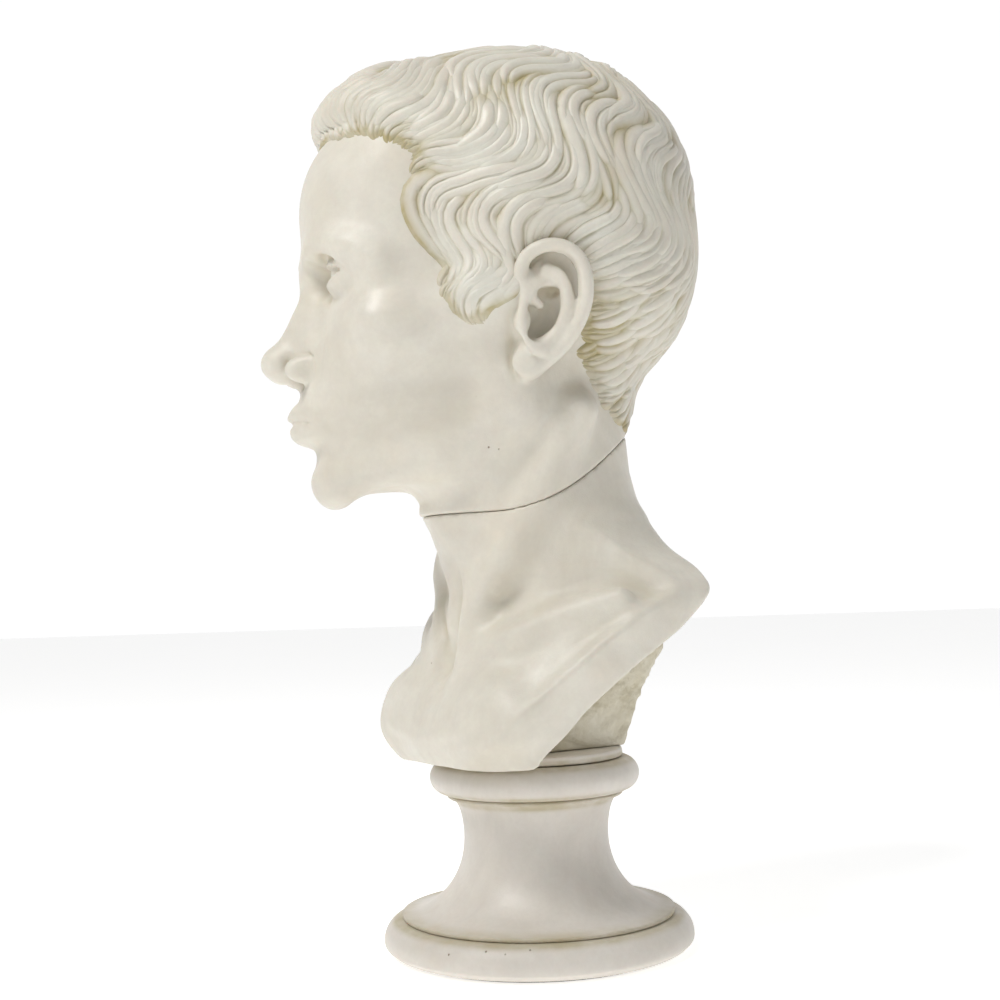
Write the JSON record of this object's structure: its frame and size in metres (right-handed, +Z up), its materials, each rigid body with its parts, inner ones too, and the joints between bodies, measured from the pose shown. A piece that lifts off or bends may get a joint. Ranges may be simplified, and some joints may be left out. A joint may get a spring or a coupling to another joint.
{
  "type": "marble portrait bust",
  "caption": "Carved marble head and cut chest on a turned round socle, held down by a tie rod about which the bust can be turned.",
  "frame": {"origin": "middle of the felt pad's underside, on the socle's turning axis, where the object stands", "axes": "+Z up along the socle's axis; the face looks along -Y, turned ten degrees towards +X; +X is the bust's left"},
  "size_m": [0.1851, 0.2229, 0.4645],
  "materials": {
    "marble": "satin",
    "steel": "satin",
    "brass": "satin",
    "nylon": "matte",
    "felt": "matte"
  },
  "bodies": {
    "socle": {"felt_pad": "felt", "socle_base": "marble", "socle_stem": "marble", "socle_collar": "marble", "swivel_washer": "nylon", "rod_washer": "steel"},
    "bust": {"top_disc": "marble", "chest": "marble", "neck_dowel": "steel", "head": "marble", "rod_sleeve": "brass", "tie_rod": "steel", "rod_nut": "steel", "lock_nut": "steel"}
  },
  "joints": [
    {"name": "bust_turn", "type": "hinge", "parent": "socle", "child": "bust", "pos_m": [0, 0, 0.095], "axis": [0, 0, 1], "continuous": true}
  ]
}
